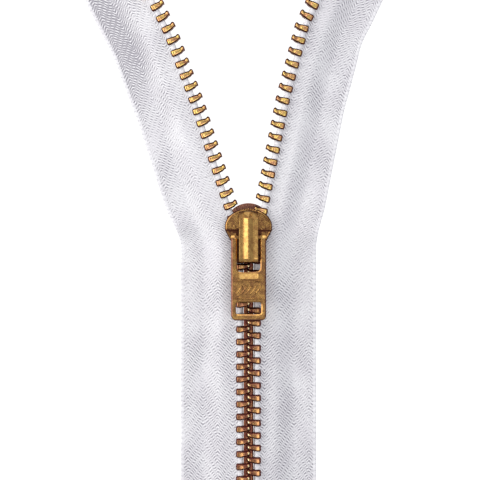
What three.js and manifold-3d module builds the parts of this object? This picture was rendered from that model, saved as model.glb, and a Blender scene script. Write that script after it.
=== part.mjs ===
// Metal zipper lying flat, partly open: two woven tapes, their tooth rows, the stops and a locking slider.
// Millimetres. X across the tapes, +Y towards the open end, +Z up.
// The origin is on the slider's flat underside, on the chain's centre line, where the two rows meet.

import * as THREE from 'three';
import { mergeVertices } from 'three/addons/utils/BufferGeometryUtils.js';
import Module from 'manifold-3d';

const wasm = await Module();
wasm.setup();

// ---- Driving dimensions ----------------------------------------------------------------------

const SLIDE_GAP = 0.15; // between a tooth, its bead and the slider's walls
const PANEL_GAP = 0.3; // between two neighbouring tape panels at a bend

// Tapes
const TAPE_THICKNESS = 0.5;
const BEAD_RADIUS = 0.7; // the corded edge that the teeth are clamped on
const TAPE_LEVEL_WIDTH = 3.9; // from the bead's centre to where the tape starts to fall
const TAPE_SLOPE_WIDTH = 4.1;
const MARGIN_WIDTH = 6; // the sewing margin, which lies flat
const TAPE_END_LENGTH = 8; // bare tape beyond the stops

// Teeth
const PITCH = 2.93; // from one tooth to the next on the same tape
const JAW_WALL = 0.45; // metal above and below the bead
const JAW_HOLD = 0.09; // how far the jaws reach behind the bead's pocket
const JAW_WIDTH = 1.3;
const WAIST_WIDTH = 1.0;
const HEAD_GAP = 0.215; // between two meshed heads
const NECK_LENGTH = 1.15; // from the bead's pocket to the chain's centre line
const HEAD_REACH = 0.5; // past the centre line
const TIP_WIDTH = 0.6;
const NUB_HEIGHT = 0.3;
const NUB_WIDTH = 0.8;
const WEB_THICKNESS = 1.0; // the strip that joins the teeth of a closed row

// Rows: counts in whole pitches, spreads in degrees from the centre line
const CLOSED_TEETH = 20;
const ARM_PITCHES = [12, 6, 3];
const LEFT_SPREADS = [18, 20.7, 26.6];
const RIGHT_SPREADS = [11.3, 14.7, 25];

// Stops
const TOP_STOP_LENGTH = 2.2;
const BOTTOM_STOP_LENGTH = 3;
const STOP_GAP = 0.4;

// Slider body
const BLADE_THICKNESS = 0.9;
const ROOT_DEPTH = 0.2; // how far a flange or the divider runs into its blade
const FLANGE_WALL = 0.66;
const FLANGE_CLEARANCE = 0.25;
const TAIL_Y = -4.23;
const FLANGE_TOP_Y = 5;
const SHOULDER_Y = 4.4;
const FLARE_START_Y = 0.5;
const FLARE_END_Y = 3.5;
const UPPER_NOSE_RISE = 4.13; // how far the upper blade's nose stands above the shoulders
const DIVIDER_START_Y = 5.2;
const DIVIDER_END_Y = 8.1;

// Crown, lock and pull tab
const CROWN_WIDTH = 4.6;
const CROWN_WALL = 0.5;
const CROWN_BEVEL = 0.55;
const CROWN_BACK_Y = -3.95;
const CROWN_FACET_Y = 6.27;
const CROWN_FRONT_Y = 7.6;
const BAR_RADIUS = 0.5;
const PIVOT_Y = 1.8;
const TAB_THICKNESS = 1.1;
const TAB_LIFT = 0.2; // gap under the tab where it lies on the slider
const TAB_SIDE_GAP = 0.45; // between the crown and the tab's rails
const RAIL_WIDTH = 1.34;
const TAB_BOTTOM_Y = -17.55;
const TAB_CORNER = 1.2;
const WINDOW_BOTTOM_Y = -6.35;
const RIDGE_TOP_Y = -6.5;
const RIDGE_LENGTH = 1.5;
const RIDGE_WIDTH = 4.6;
const RIDGE_HEIGHT = 0.45;
const THUMB_WINDOW_TOP_Y = -13.3;
const THUMB_WINDOW_HEIGHT = 2.8;
const THUMB_WINDOW_WIDTH = 5.9;
const PAWL_WIDTH = 1.8;
const PAWL_LENGTH = 6;
const PAWL_THICKNESS = 0.25;
const PAWL_GAP = 0.15; // above the bar, and under the tip
const PIN_WIDTH = 0.6;
const PIN_Y = -1;
const SPRING_THICKNESS = 0.15;
const SPRING_RISE = 0.5;

// ---- Values worked out from them -------------------------------------------------------------

const radians = THREE.MathUtils.degToRad;
const POCKET_RADIUS = BEAD_RADIUS + SLIDE_GAP;
const JAW_LENGTH = POCKET_RADIUS + JAW_HOLD;
const BEAD_OFFSET = POCKET_RADIUS + NECK_LENGTH;
const HEAD_WIDTH = PITCH / 2 - HEAD_GAP;
const TOOTH_THICKNESS = 2 * (POCKET_RADIUS + JAW_WALL);
const TOOTH_REACH = BEAD_OFFSET + HEAD_REACH;
const CHAIN_Z = BLADE_THICKNESS + SLIDE_GAP + TOOTH_THICKNESS / 2;
const TAPE_SLOT = TAPE_THICKNESS + 2 * SLIDE_GAP;

const WIDEST_SPREAD = radians(Math.max(LEFT_SPREADS[0], RIGHT_SPREADS[0]));
const NARROWEST_SPREAD = radians(Math.min(LEFT_SPREADS[0], RIGHT_SPREADS[0]));
const UPPER_BLADE_Z = CHAIN_Z + TOOTH_THICKNESS / 2 + SLIDE_GAP;
const BLADE_TOP_Z = UPPER_BLADE_Z + BLADE_THICKNESS;
const TAIL_HALF_WIDTH = channelHalfWidth(0) + FLANGE_WALL;
const SHOULDER_HALF_WIDTH = channelHalfWidth(FLANGE_TOP_Y) + FLANGE_WALL;

const PIVOT_Z = BLADE_TOP_Z + TAB_LIFT + TAB_THICKNESS / 2;
const WINDOW_HALF_WIDTH = CROWN_WIDTH / 2 + TAB_SIDE_GAP;
const TAB_HALF_WIDTH = WINDOW_HALF_WIDTH + RAIL_WIDTH;
const PAWL_Z = PIVOT_Z + BAR_RADIUS + PAWL_GAP;
const SPRING_Z = PAWL_Z + PAWL_THICKNESS + PAWL_GAP / 2;
const CROWN_ROOF_Z = SPRING_Z + SPRING_RISE + PAWL_GAP / 2;
const CROWN_TOP_Z = CROWN_ROOF_Z + CROWN_WALL;

// The stops' centres, measured along the bead from the vertex.
const LAST_SHIFT = 0.25; // the last tooth of a full row is this share of a pitch short of the count
const STOP_SPACING = JAW_WIDTH / 2 + STOP_GAP;
const BOTTOM_STOP_Y = -(CLOSED_TEETH - LAST_SHIFT) * PITCH - STOP_SPACING - BOTTOM_STOP_LENGTH / 2;
const TAPE_BOTTOM_Y = BOTTOM_STOP_Y - BOTTOM_STOP_LENGTH / 2 - TAPE_END_LENGTH;
const ARM_LENGTH = ARM_PITCHES.reduce((sum, count) => sum + count, 0) * PITCH;
const TOP_STOP_Y = ARM_LENGTH - LAST_SHIFT * PITCH + STOP_SPACING + TOP_STOP_LENGTH / 2;
const TAPE_TOP_LENGTH = TOP_STOP_Y + TOP_STOP_LENGTH / 2 + TAPE_END_LENGTH;

// Half the width of the slider's tooth channel: it follows the heels of the row that spreads most.
function channelHalfWidth(y) {
  const heel = BEAD_OFFSET + JAW_LENGTH / Math.cos(WIDEST_SPREAD);
  return heel + Math.max(0, y) * Math.tan(WIDEST_SPREAD) + FLANGE_CLEARANCE;
}

// Half the width of the divider: it stays inside the heads of the row that spreads least.
function dividerHalfWidth(y) {
  const heads = BEAD_OFFSET - TOOTH_REACH / Math.cos(NARROWEST_SPREAD);
  return heads + y * Math.tan(NARROWEST_SPREAD) - FLANGE_CLEARANCE;
}

// ---- Materials -------------------------------------------------------------------------------

const BRASS = { color: 0xb07a35, roughness: 0.32, metalness: 1 };
const SPRING_STEEL = { color: 0xb9b7ae, roughness: 0.35, metalness: 1 };
const POLYESTER = { color: 0xe9e8ee, roughness: 0.9, metalness: 0 };

// ---- Geometry helpers ------------------------------------------------------------------------

function polygon(points) {
  return new THREE.Shape(points.map(([x, y]) => new THREE.Vector2(x, y)));
}

function extrude(shape, depth) {
  return new THREE.ExtrudeGeometry(shape, { depth, bevelEnabled: false, curveSegments: 10 });
}

// An outline in X and Y, raised from z0 to z1.
function raised(shape, z0, z1) {
  return extrude(shape, z1 - z0).translate(0, 0, z0);
}

// An outline in X and Z, carried along Y from y0 to y1.
function alongY(shape, y0, y1) {
  return extrude(shape, y1 - y0).rotateX(Math.PI / 2).translate(0, y1, 0);
}

// An outline in Y and Z, carried across X from -width/2 to width/2.
function acrossX(shape, width) {
  const turn = new THREE.Matrix4().makeBasis(
    new THREE.Vector3(0, 1, 0),
    new THREE.Vector3(0, 0, 1),
    new THREE.Vector3(1, 0, 0),
  );
  return extrude(shape, width).applyMatrix4(turn).translate(-width / 2, 0, 0);
}

function box(x0, x1, y0, y1, z0, z1) {
  const geometry = new THREE.BoxGeometry(x1 - x0, y1 - y0, z1 - z0);
  return geometry.translate((x0 + x1) / 2, (y0 + y1) / 2, (z0 + z1) / 2);
}

function barAcrossX(radius, length, y, z) {
  return new THREE.CylinderGeometry(radius, radius, length, 12).rotateZ(Math.PI / 2).translate(0, y, z);
}

function barAlongY(radius, y0, y1, x, z) {
  return new THREE.CylinderGeometry(radius, radius, y1 - y0, 10).translate(x, (y0 + y1) / 2, z);
}

function solid(geometry) {
  geometry.deleteAttribute('normal');
  geometry.deleteAttribute('uv');
  const merged = mergeVertices(geometry);
  const vertProperties = new Float32Array(merged.attributes.position.array);
  const triVerts = new Uint32Array(merged.index.array);
  return new wasm.Manifold(new wasm.Mesh({ numProp: 3, vertProperties, triVerts }));
}

function geometryOf(body) {
  const { vertProperties, triVerts } = body.getMesh();
  const geometry = new THREE.BufferGeometry();
  geometry.setAttribute('position', new THREE.BufferAttribute(vertProperties, 3));
  geometry.setIndex(new THREE.BufferAttribute(triVerts, 1));
  geometry.computeVertexNormals();
  return geometry;
}

function named(name, geometry, finish) {
  const mesh = new THREE.Mesh(geometry, new THREE.MeshStandardMaterial(finish));
  mesh.name = name;
  return mesh;
}

// ---- Tapes -----------------------------------------------------------------------------------

// The tape's cross-section from the bead outwards: corded edge, level band, slope, flat margin.
// side is -1 on the left tape and 1 on the right one.
function tapeSection(side) {
  const half = TAPE_THICKNESS / 2;
  const leave = Math.asin(half / BEAD_RADIUS);
  const steps = 8;
  const bead = [];
  for (let i = 0; i <= steps; i += 1) {
    const angle = leave + (i / steps) * 2 * (Math.PI - leave);
    bead.push([BEAD_RADIUS * Math.cos(angle), CHAIN_Z + BEAD_RADIUS * Math.sin(angle)]);
  }
  const slopeEnd = TAPE_LEVEL_WIDTH + TAPE_SLOPE_WIDTH;
  const edge = slopeEnd + MARGIN_WIDTH;
  const web = [
    [TAPE_LEVEL_WIDTH, CHAIN_Z - half],
    [slopeEnd, 0],
    [edge, 0],
    [edge, TAPE_THICKNESS],
    [slopeEnd, TAPE_THICKNESS],
    [TAPE_LEVEL_WIDTH, CHAIN_Z + half],
  ];
  return polygon([...bead, ...web].map(([u, z]) => [side * u, z]));
}

// One panel from y0 to y1 along the bead, each end cut back outwards by its mitre angle.
function tapePanel(side, y0, y1, startMitre, endMitre) {
  const geometry = alongY(tapeSection(side), y0, y1);
  const position = geometry.attributes.position;
  const middle = (y0 + y1) / 2;
  for (let i = 0; i < position.count; i += 1) {
    const outward = side * position.getX(i);
    const y = position.getY(i);
    const cut = y < middle ? outward * Math.tan(startMitre) : -outward * Math.tan(endMitre);
    position.setY(i, y + cut);
  }
  return geometry;
}

// ---- Teeth and stops -------------------------------------------------------------------------

// The pocket for one bead and the slot for its tape, both open towards -X.
function beadPocket(y0, y1) {
  const pocket = solid(barAlongY(POCKET_RADIUS, y0, y1, 0, 0));
  const slot = solid(box(-2 * JAW_LENGTH, 0, y0, y1, -TAPE_SLOT / 2, TAPE_SLOT / 2));
  return pocket.add(slot);
}

// A tooth of the left row: bead centre at the origin, head towards +X, nub towards +Y.
function toothSolid() {
  const jaw = JAW_WIDTH / 2;
  const waist = WAIST_WIDTH / 2;
  const head = HEAD_WIDTH / 2;
  const tip = TIP_WIDTH / 2;
  const nub = NUB_WIDTH / 2;
  const jawEnd = POCKET_RADIUS;
  const headEnd = TOOTH_REACH - (head - tip);
  const mesh = BEAD_OFFSET;
  const plan = polygon([
    [-JAW_LENGTH, -jaw],
    [jawEnd * 0.8, -jaw],
    [jawEnd + 0.2, -waist],
    [mesh - nub, -head],
    [mesh - nub / 2, -head + NUB_HEIGHT],
    [mesh + nub / 4, -head + NUB_HEIGHT],
    [TOOTH_REACH, -tip],
    [TOOTH_REACH, tip],
    [headEnd, head],
    [mesh + nub / 4, head + NUB_HEIGHT / 2],
    [mesh - nub / 4, head + NUB_HEIGHT / 2],
    [mesh - nub, head],
    [jawEnd + 0.2, waist],
    [jawEnd * 0.8, jaw],
    [-JAW_LENGTH, jaw],
  ]);
  const half = TOOTH_THICKNESS / 2;
  const blank = solid(raised(plan, -half, half));
  return blank.subtract(beadPocket(-JAW_WIDTH, JAW_WIDTH));
}

// Teeth of a closed row, joined by a strip between the beads and the meshed heads.
function closedRow(tooth, side, firstShift) {
  const turned = side < 0 ? tooth : tooth.rotate([0, 180, 0]);
  const inner = HEAD_REACH + 2 * SLIDE_GAP;
  const outer = BEAD_OFFSET - POCKET_RADIUS + 0.1;
  const first = -firstShift * PITCH;
  const last = first - (CLOSED_TEETH - 1) * PITCH;
  const x0 = Math.min(side * inner, side * outer);
  const x1 = Math.max(side * inner, side * outer);
  let row = solid(box(x0, x1, last, first, CHAIN_Z - WEB_THICKNESS / 2, CHAIN_Z + WEB_THICKNESS / 2));
  for (let k = 0; k < CLOSED_TEETH; k += 1) {
    row = row.add(turned.translate([side * BEAD_OFFSET, first - k * PITCH, CHAIN_Z]));
  }
  return geometryOf(row);
}

// A clip pressed round one bead at the open end, bead centre at the origin.
function topStop() {
  const half = TOOTH_THICKNESS / 2;
  const reach = POCKET_RADIUS + JAW_WALL;
  const length = TOP_STOP_LENGTH / 2;
  const blank = solid(box(-JAW_LENGTH, reach, -length, length, -half, half));
  return geometryOf(blank.subtract(beadPocket(-2 * length, 2 * length)));
}

// One clip pressed round both beads below the last teeth.
function bottomStop() {
  const half = TOOTH_THICKNESS / 2;
  const length = BOTTOM_STOP_LENGTH / 2;
  const reach = BEAD_OFFSET + JAW_LENGTH;
  const pocket = beadPocket(-2 * length, 2 * length);
  const left = pocket.translate([-BEAD_OFFSET, 0, 0]);
  const right = pocket.rotate([0, 0, 180]).translate([BEAD_OFFSET, 0, 0]);
  const blank = solid(box(-reach, reach, -length, length, -half, half));
  return geometryOf(blank.subtract(left).subtract(right));
}

// ---- Slider ----------------------------------------------------------------------------------

// A blade's outline: round nose, shoulders, flare and tail.
function bladeOutline(noseRise) {
  const outline = new THREE.Shape();
  outline.moveTo(TAIL_HALF_WIDTH, TAIL_Y);
  outline.lineTo(TAIL_HALF_WIDTH, FLARE_START_Y);
  outline.lineTo(SHOULDER_HALF_WIDTH, FLARE_END_Y);
  outline.absellipse(0, SHOULDER_Y, SHOULDER_HALF_WIDTH, noseRise, 0, Math.PI, false, 0);
  outline.lineTo(-SHOULDER_HALF_WIDTH, FLARE_END_Y);
  outline.lineTo(-TAIL_HALF_WIDTH, FLARE_START_Y);
  outline.lineTo(-TAIL_HALF_WIDTH, TAIL_Y);
  return outline;
}

// The space between the two flanges.
function channelOutline() {
  const below = TAIL_Y - 1;
  const above = FLANGE_TOP_Y + 1;
  return polygon([
    [channelHalfWidth(0), below],
    [channelHalfWidth(0), 0],
    [channelHalfWidth(above), above],
    [-channelHalfWidth(above), above],
    [-channelHalfWidth(0), 0],
    [-channelHalfWidth(0), below],
  ]);
}

function flanges(z0, z1) {
  const wide = 2 * SHOULDER_HALF_WIDTH;
  const rim = solid(raised(bladeOutline(UPPER_NOSE_RISE), z0, z1));
  const lower = solid(box(-wide, wide, TAIL_Y - 1, FLANGE_TOP_Y, z0, z1));
  const channel = solid(raised(channelOutline(), z0, z1));
  return rim.intersect(lower).subtract(channel);
}

function divider() {
  const start = dividerHalfWidth(DIVIDER_START_Y);
  const end = dividerHalfWidth(DIVIDER_END_Y);
  const outline = polygon([
    [-start, DIVIDER_START_Y],
    [start, DIVIDER_START_Y],
    [end, DIVIDER_END_Y],
    [-end, DIVIDER_END_Y],
  ]);
  return solid(raised(outline, BLADE_THICKNESS - ROOT_DEPTH, UPPER_BLADE_Z + ROOT_DEPTH));
}

function sliderBody() {
  const lip = CHAIN_Z - TAPE_SLOT / 2;
  const upperLip = CHAIN_Z + TAPE_SLOT / 2;
  const lowerBlade = solid(raised(bladeOutline(SHOULDER_HALF_WIDTH), 0, BLADE_THICKNESS));
  const upperBlade = solid(raised(bladeOutline(UPPER_NOSE_RISE), UPPER_BLADE_Z, BLADE_TOP_Z));
  const hole = PIN_WIDTH / 2 + SLIDE_GAP;
  const pinHole = solid(box(-hole, hole, PIN_Y - hole, PIN_Y + hole, UPPER_BLADE_Z - 1, BLADE_TOP_Z + 1));
  const body = lowerBlade
    .add(flanges(BLADE_THICKNESS - ROOT_DEPTH, lip))
    .add(upperBlade.subtract(pinHole))
    .add(flanges(upperLip, UPPER_BLADE_Z + ROOT_DEPTH))
    .add(divider());
  return geometryOf(body);
}

// The cap over the lock: bevelled on both sides, falling away in front, hollow and open underneath.
function crownCap() {
  const side = polygon([
    [CROWN_BACK_Y, BLADE_TOP_Z],
    [CROWN_FRONT_Y, BLADE_TOP_Z],
    [CROWN_FRONT_Y, BLADE_TOP_Z + 0.5],
    [CROWN_FACET_Y, CROWN_TOP_Z],
    [CROWN_BACK_Y + CROWN_BEVEL, CROWN_TOP_Z],
    [CROWN_BACK_Y, CROWN_TOP_Z - CROWN_BEVEL],
  ]);
  const half = CROWN_WIDTH / 2;
  const face = polygon([
    [-half, BLADE_TOP_Z],
    [half, BLADE_TOP_Z],
    [half, CROWN_TOP_Z - CROWN_BEVEL],
    [half - CROWN_BEVEL, CROWN_TOP_Z],
    [CROWN_BEVEL - half, CROWN_TOP_Z],
    [-half, CROWN_TOP_Z - CROWN_BEVEL],
  ]);
  const shell = solid(acrossX(side, CROWN_WIDTH)).intersect(solid(alongY(face, CROWN_BACK_Y, CROWN_FRONT_Y)));
  const inside = half - CROWN_WALL;
  const front = CROWN_FACET_Y - 2 * CROWN_WALL;
  const hollow = solid(
    box(-inside, inside, CROWN_BACK_Y + CROWN_WALL, front, BLADE_TOP_Z - 1, CROWN_ROOF_Z),
  );
  const slot = BAR_RADIUS + SLIDE_GAP;
  const notch = solid(
    box(-CROWN_WIDTH, CROWN_WIDTH, PIVOT_Y - slot, PIVOT_Y + slot, BLADE_TOP_Z - 1, PIVOT_Z + slot),
  );
  return geometryOf(shell.subtract(hollow).subtract(notch));
}

// A strip over the tab's bar, with a pin that drops through the upper blade.
function lockPawl() {
  const half = PAWL_WIDTH / 2;
  const y0 = PIVOT_Y - PAWL_LENGTH / 2 - 1;
  const strip = solid(box(-half, half, y0, y0 + PAWL_LENGTH, PAWL_Z, PAWL_Z + PAWL_THICKNESS));
  const tip = UPPER_BLADE_Z + PAWL_GAP / 2;
  const pin = PIN_WIDTH / 2;
  const drop = solid(box(-pin, pin, PIN_Y - pin, PIN_Y + pin, tip, PAWL_Z + PAWL_THICKNESS / 2));
  return geometryOf(strip.add(drop));
}

// A leaf bowed between the strip and the cap's roof.
function lockSpring() {
  const crest = SPRING_Z + SPRING_RISE;
  const reach = PAWL_LENGTH / 2 - 0.6;
  const middle = PIVOT_Y - 1;
  const leaf = polygon([
    [middle - reach, SPRING_Z],
    [middle + reach, SPRING_Z],
    [middle + reach, SPRING_Z + SPRING_THICKNESS],
    [middle + reach / 3, crest],
    [middle - reach / 3, crest],
    [middle - reach, SPRING_Z + SPRING_THICKNESS],
  ]);
  const under = polygon([
    [middle - reach + 0.5, SPRING_Z - 1],
    [middle + reach - 0.5, SPRING_Z - 1],
    [middle + reach - 0.5, SPRING_Z],
    [middle + reach / 3, crest - SPRING_THICKNESS],
    [middle - reach / 3, crest - SPRING_THICKNESS],
    [middle - reach + 0.5, SPRING_Z],
  ]);
  const width = PAWL_WIDTH - 2 * PAWL_GAP;
  return geometryOf(solid(acrossX(leaf, width)).subtract(solid(acrossX(under, 2 * width))));
}

// ---- Pull tab --------------------------------------------------------------------------------

function roundedWindow(x, y0, y1, corner) {
  const hole = new THREE.Path();
  hole.moveTo(-x + corner, y0);
  hole.lineTo(x - corner, y0);
  hole.absarc(x - corner, y0 + corner, corner, -Math.PI / 2, 0, false);
  hole.lineTo(x, y1 - corner);
  hole.absarc(x - corner, y1 - corner, corner, 0, Math.PI / 2, false);
  hole.lineTo(-x + corner, y1);
  hole.absarc(-x + corner, y1 - corner, corner, Math.PI / 2, Math.PI, false);
  hole.lineTo(-x, y0 + corner);
  hole.absarc(-x + corner, y0 + corner, corner, Math.PI, 1.5 * Math.PI, false);
  return hole;
}

function tabOutline(top) {
  const outline = new THREE.Shape();
  const half = TAB_HALF_WIDTH;
  outline.moveTo(-half + TAB_CORNER, TAB_BOTTOM_Y);
  outline.lineTo(half - TAB_CORNER, TAB_BOTTOM_Y);
  outline.absarc(half - TAB_CORNER, TAB_BOTTOM_Y + TAB_CORNER, TAB_CORNER, -Math.PI / 2, 0, false);
  outline.lineTo(half, top);
  outline.lineTo(WINDOW_HALF_WIDTH, top);
  outline.lineTo(WINDOW_HALF_WIDTH, WINDOW_BOTTOM_Y + TAB_CORNER);
  outline.absarc(
    WINDOW_HALF_WIDTH - TAB_CORNER,
    WINDOW_BOTTOM_Y + TAB_CORNER,
    TAB_CORNER,
    0,
    -Math.PI / 2,
    true,
  );
  outline.lineTo(-WINDOW_HALF_WIDTH, WINDOW_BOTTOM_Y);
  outline.lineTo(-WINDOW_HALF_WIDTH, top);
  outline.lineTo(-half, top);
  outline.lineTo(-half, TAB_BOTTOM_Y + TAB_CORNER);
  outline.absarc(-half + TAB_CORNER, TAB_BOTTOM_Y + TAB_CORNER, TAB_CORNER, Math.PI, 1.5 * Math.PI, false);
  return outline;
}

// The tab's profile seen from the side: flat, with a round end about the pivot.
function tabSide() {
  const half = TAB_THICKNESS / 2;
  const side = new THREE.Shape();
  side.moveTo(TAB_BOTTOM_Y, PIVOT_Z - half);
  side.lineTo(PIVOT_Y, PIVOT_Z - half);
  side.absarc(PIVOT_Y, PIVOT_Z, half, -Math.PI / 2, Math.PI / 2, false);
  side.lineTo(TAB_BOTTOM_Y, PIVOT_Z + half);
  return side;
}

// Two rails on a round bar, a grip ridge across the top and a thumb window at the bottom.
function pullTab() {
  const half = TAB_THICKNESS / 2;
  const top = PIVOT_Z + half;
  const outline = tabOutline(PIVOT_Y + TAB_THICKNESS);
  const thumbBottom = THUMB_WINDOW_TOP_Y - THUMB_WINDOW_HEIGHT;
  outline.holes.push(roundedWindow(THUMB_WINDOW_WIDTH / 2, thumbBottom, THUMB_WINDOW_TOP_Y, 0.5));
  const plate = solid(raised(outline, PIVOT_Z - half - 1, top + 1));
  const flat = solid(acrossX(tabSide(), 2 * TAB_HALF_WIDTH + 1));
  const bar = solid(barAcrossX(BAR_RADIUS, 2 * WINDOW_HALF_WIDTH + RAIL_WIDTH, PIVOT_Y, PIVOT_Z));
  const ridgeBottom = RIDGE_TOP_Y - RIDGE_LENGTH;
  const ridgeProfile = polygon([
    [ridgeBottom, top - 0.2],
    [RIDGE_TOP_Y, top - 0.2],
    [RIDGE_TOP_Y - RIDGE_HEIGHT, top + RIDGE_HEIGHT],
    [ridgeBottom + RIDGE_HEIGHT, top + RIDGE_HEIGHT],
  ]);
  const ridge = solid(acrossX(ridgeProfile, RIDGE_WIDTH));
  return geometryOf(plate.intersect(flat).add(bar).add(ridge));
}

// ---- Assembly --------------------------------------------------------------------------------

const group = new THREE.Group();
const tooth = toothSolid();
const toothGeometry = geometryOf(tooth);
const stopGeometry = topStop();

// One tape with its row: side is -1 or 1, shift is the first open tooth's place in pitches.
function buildSide(prefix, side, spreads, shift) {
  const mitres = [
    radians(spreads[0]) / 2,
    radians(spreads[1] - spreads[0]) / 2,
    radians(Math.max(spreads[0], spreads[2] - spreads[1])) / 2,
  ];
  const gap = PANEL_GAP / 2;
  const lower = named(
    `${prefix}_tape_lower`,
    tapePanel(side, TAPE_BOTTOM_Y, -gap, 0, mitres[0]),
    POLYESTER,
  );
  lower.position.x = side * BEAD_OFFSET;
  group.add(lower);
  group.add(named(`${prefix}_closed_teeth`, closedRow(tooth, side, 1 - shift), BRASS));

  let parent = group;
  let previousSpread = 0;
  let previousLength = 0;
  let start = 0;
  let number = 1;
  for (let i = 0; i < ARM_PITCHES.length; i += 1) {
    const arm = new THREE.Group();
    const last = i === ARM_PITCHES.length - 1;
    const length = last ? TAPE_TOP_LENGTH - start : ARM_PITCHES[i] * PITCH;
    arm.position.set(i === 0 ? side * BEAD_OFFSET : 0, previousLength, 0);
    arm.rotation.z = -side * radians(spreads[i] - previousSpread);
    parent.add(arm);
    const panelEnd = last ? length : length - gap;
    const endMitre = last ? 0 : mitres[i + 1];
    arm.add(named(`${prefix}_tape_arm_${i + 1}`, tapePanel(side, gap, panelEnd, mitres[i], endMitre), POLYESTER));
    for (let k = 0; k < ARM_PITCHES[i]; k += 1) {
      const piece = named(`${prefix}_tooth_${String(number).padStart(2, '0')}`, toothGeometry, BRASS);
      piece.position.set(0, (k + shift) * PITCH, CHAIN_Z);
      piece.rotation.y = side < 0 ? 0 : Math.PI;
      arm.add(piece);
      number += 1;
    }
    if (last) {
      const stop = named(`${prefix}_top_stop`, stopGeometry, BRASS);
      stop.position.set(0, TOP_STOP_Y - start, CHAIN_Z);
      stop.rotation.y = side < 0 ? 0 : Math.PI;
      arm.add(stop);
    }
    parent = arm;
    previousSpread = spreads[i];
    previousLength = length;
    start += length;
  }
}

buildSide('left', -1, LEFT_SPREADS, LAST_SHIFT);
buildSide('right', 1, RIGHT_SPREADS, 1 - LAST_SHIFT);

const bottom = named('bottom_stop', bottomStop(), BRASS);
bottom.position.set(0, BOTTOM_STOP_Y, CHAIN_Z);
group.add(bottom);

group.add(named('slider_body', sliderBody(), BRASS));
group.add(named('crown_cap', crownCap(), BRASS));
group.add(named('lock_pawl', lockPawl(), SPRING_STEEL));
group.add(named('lock_spring', lockSpring(), SPRING_STEEL));
group.add(named('pull_tab', pullTab(), BRASS));

export default group;
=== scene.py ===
"""A metal zipper lying flat and partly open, dressed around its CAD frame."""

import bmesh
import bpy
import numpy as np
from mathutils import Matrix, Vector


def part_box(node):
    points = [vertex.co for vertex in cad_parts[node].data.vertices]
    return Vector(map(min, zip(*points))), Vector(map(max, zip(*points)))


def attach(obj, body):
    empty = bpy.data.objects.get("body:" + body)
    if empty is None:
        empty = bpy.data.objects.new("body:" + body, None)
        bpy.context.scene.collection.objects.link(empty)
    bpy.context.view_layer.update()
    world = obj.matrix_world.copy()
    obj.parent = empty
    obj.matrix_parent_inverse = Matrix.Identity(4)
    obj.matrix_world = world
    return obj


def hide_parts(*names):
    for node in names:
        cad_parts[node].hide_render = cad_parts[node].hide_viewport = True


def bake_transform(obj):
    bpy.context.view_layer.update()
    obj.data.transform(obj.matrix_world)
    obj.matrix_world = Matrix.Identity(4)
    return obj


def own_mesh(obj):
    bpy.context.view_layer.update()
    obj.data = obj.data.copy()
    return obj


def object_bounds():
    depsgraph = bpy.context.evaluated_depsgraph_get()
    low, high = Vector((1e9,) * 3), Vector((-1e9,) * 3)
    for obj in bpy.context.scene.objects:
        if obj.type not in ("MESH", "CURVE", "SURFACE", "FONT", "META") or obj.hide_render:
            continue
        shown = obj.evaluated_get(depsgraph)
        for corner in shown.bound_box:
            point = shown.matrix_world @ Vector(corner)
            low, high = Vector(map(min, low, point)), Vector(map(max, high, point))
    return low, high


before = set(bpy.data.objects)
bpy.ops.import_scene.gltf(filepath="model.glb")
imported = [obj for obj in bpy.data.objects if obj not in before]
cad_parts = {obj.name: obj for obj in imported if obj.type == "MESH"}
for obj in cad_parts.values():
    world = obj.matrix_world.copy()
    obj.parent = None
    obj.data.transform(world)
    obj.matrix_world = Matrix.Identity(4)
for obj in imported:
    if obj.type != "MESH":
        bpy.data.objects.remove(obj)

CAD_BOX = [list(corner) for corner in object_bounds()]
MM = 0.001


# ---- Stage -------------------------------------------------------------------------------------
# The zipper lies on a plain white table, seen from straight above through a long lens.
# A low lamp on the left, one beyond the far end, one high on the near right and a small one overhead
# light it, each where some bevel of the brass catches it.

VIEW_WIDTH = 112.8 * MM
VIEW_CENTRE = (-2.0 * MM, 1.2 * MM)
CHAIN_HEIGHT = 2.35 * MM
LENS = 120
SENSOR = 36

scene = bpy.context.scene
scene.view_settings.view_transform = "Standard"


def link(name, data):
    """A new object in the scene's collection."""
    thing = bpy.data.objects.new(name, data)
    scene.collection.objects.link(thing)
    return thing


camera = link("camera", bpy.data.cameras.new("camera"))
camera.data.lens = LENS
camera.data.sensor_width = SENSOR
camera.data.clip_start = 0.01
camera.location = (*VIEW_CENTRE, VIEW_WIDTH * LENS / SENSOR + CHAIN_HEIGHT)
scene.camera = camera


def softbox(name, place, width, height, power, colour=(1, 1, 1)):
    """A rectangular area lamp at place, turned to shine at the origin."""
    lamp = link(name, bpy.data.lights.new(name, "AREA"))
    lamp.data.shape = "RECTANGLE"
    lamp.data.size = width
    lamp.data.size_y = height
    lamp.data.energy = power
    lamp.data.color = colour
    lamp.location = place
    lamp.rotation_euler = lamp.location.to_track_quat("Z", "Y").to_euler()


# Places and sizes are in metres, powers in watts.
softbox("key_lamp", (-0.29, 0.11, 0.17), 0.42, 0.24, 0.78, (1.0, 0.98, 0.94))
softbox("fill_lamp", (0.12, -0.15, 0.38), 0.22, 0.22, 0.36)
softbox("top_lamp", (0.04, 0.34, 0.26), 0.30, 0.22, 0.42)
softbox("sparkle_lamp", (-0.10, 0.05, 0.50), 0.07, 0.07, 0.06)

world = bpy.data.worlds.new("studio")
world.use_nodes = True
world.node_tree.nodes["Background"].inputs["Color"].default_value = (0.93, 0.95, 1.0, 1)
world.node_tree.nodes["Background"].inputs["Strength"].default_value = 0.50
scene.world = world


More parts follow.
